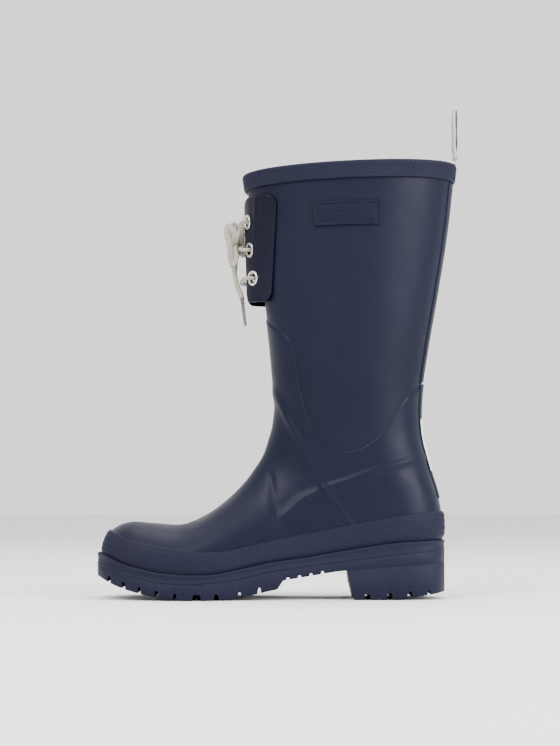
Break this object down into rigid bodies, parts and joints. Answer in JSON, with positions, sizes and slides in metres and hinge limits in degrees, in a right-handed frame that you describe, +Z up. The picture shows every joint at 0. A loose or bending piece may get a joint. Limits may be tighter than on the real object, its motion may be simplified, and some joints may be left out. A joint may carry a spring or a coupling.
{
  "type": "deck boot",
  "caption": "Lace-up rubber deck boot with a knurled foxing band, lugged sole and stacked heel, side lace flaps and a rear pull loop; keeps foot and calf dry on a wet deck.",
  "frame": {"origin": "on the ground under the middle of the boot, at the centre of its footprint box", "axes": "-X towards the toe, -Y towards the outer side of the foot, +Z up the leg"},
  "size_m": [0.2882, 0.1089, 0.3912],
  "materials": {
    "upper_rubber": "satin vulcanised rubber, very finely pitted, moulding ridges",
    "sole_rubber": "matte sole rubber, knurled on the foxing and rim",
    "core_foam": "light cellular heel filler",
    "spring_steel": "blued spring steel",
    "lining_cloth": "knitted textile bonded to the rubber",
    "stiffener": "resin-stiffened canvas",
    "board": "cellulose insole board",
    "insole_cloth": "cloth-faced foam footbed",
    "reflector": "light grey reflective film",
    "nickel": "nickel-plated brass eyelets",
    "lace_cord": "light greige flat braid",
    "aglet_plastic": "dark taupe plastic sleeve",
    "loop_tape": "light grey woven tape"
  },
  "bodies": {
    "boot": {"outsole": "sole_rubber", "heel_block": "sole_rubber", "heel_core": "core_foam", "shank": "spring_steel", "welt_strip": "sole_rubber", "foxing_band": "sole_rubber", "foot_upper": "upper_rubber", "leg_shaft": "upper_rubber", "lining": "lining_cloth", "heel_counter": "stiffener", "toe_puff": "stiffener", "insole_board": "board", "insole": "insole_cloth", "top_binding": "sole_rubber", "back_stay": "upper_rubber", "heel_stay": "upper_rubber", "heel_reflector": "reflector", "badge": "upper_rubber", "flap_lateral": "upper_rubber", "flap_medial": "upper_rubber", "eyelets_lateral": "nickel", "eyelets_medial": "nickel", "eyelet_washers_lateral": "nickel", "eyelet_washers_medial": "nickel", "lacing": "lace_cord", "lace_knot": "lace_cord", "loop_anchor": "loop_tape"},
    "bow_loop_lateral": {"bow_loop_lateral": "lace_cord"},
    "bow_loop_medial": {"bow_loop_medial": "lace_cord"},
    "lace_end_lateral": {"lace_tail_lateral": "lace_cord", "aglet_lateral": "aglet_plastic"},
    "lace_end_medial": {"lace_tail_medial": "lace_cord", "aglet_medial": "aglet_plastic"},
    "pull_tab": {"pull_loop": "loop_tape"}
  },
  "joints": [
    {"name": "pull_loop_bend", "type": "hinge", "parent": "boot", "child": "pull_tab", "pos_m": [0.142, 0, 0.3527], "axis": [0, 1, 0], "range_deg": [-75, 80], "stiffness_Nm_per_rad": 0.002},
    {"name": "bow_loop_lateral_swing", "type": "hinge", "parent": "boot", "child": "bow_loop_lateral", "pos_m": [-0.0345, -0.0065, 0.281], "axis": [0, 0, -1], "range_deg": [0, 25]},
    {"name": "bow_loop_medial_swing", "type": "hinge", "parent": "boot", "child": "bow_loop_medial", "pos_m": [-0.0345, 0.0065, 0.281], "axis": [0, 0, 1], "range_deg": [0, 25]},
    {"name": "lace_end_lateral_swing", "type": "hinge", "parent": "boot", "child": "lace_end_lateral", "pos_m": [-0.034, -0.0032, 0.2752], "axis": [0, 1, 0], "range_deg": [0, 48]},
    {"name": "lace_end_medial_swing", "type": "hinge", "parent": "boot", "child": "lace_end_medial", "pos_m": [-0.034, 0.0032, 0.2752], "axis": [0, 1, 0], "range_deg": [0, 48]}
  ]
}
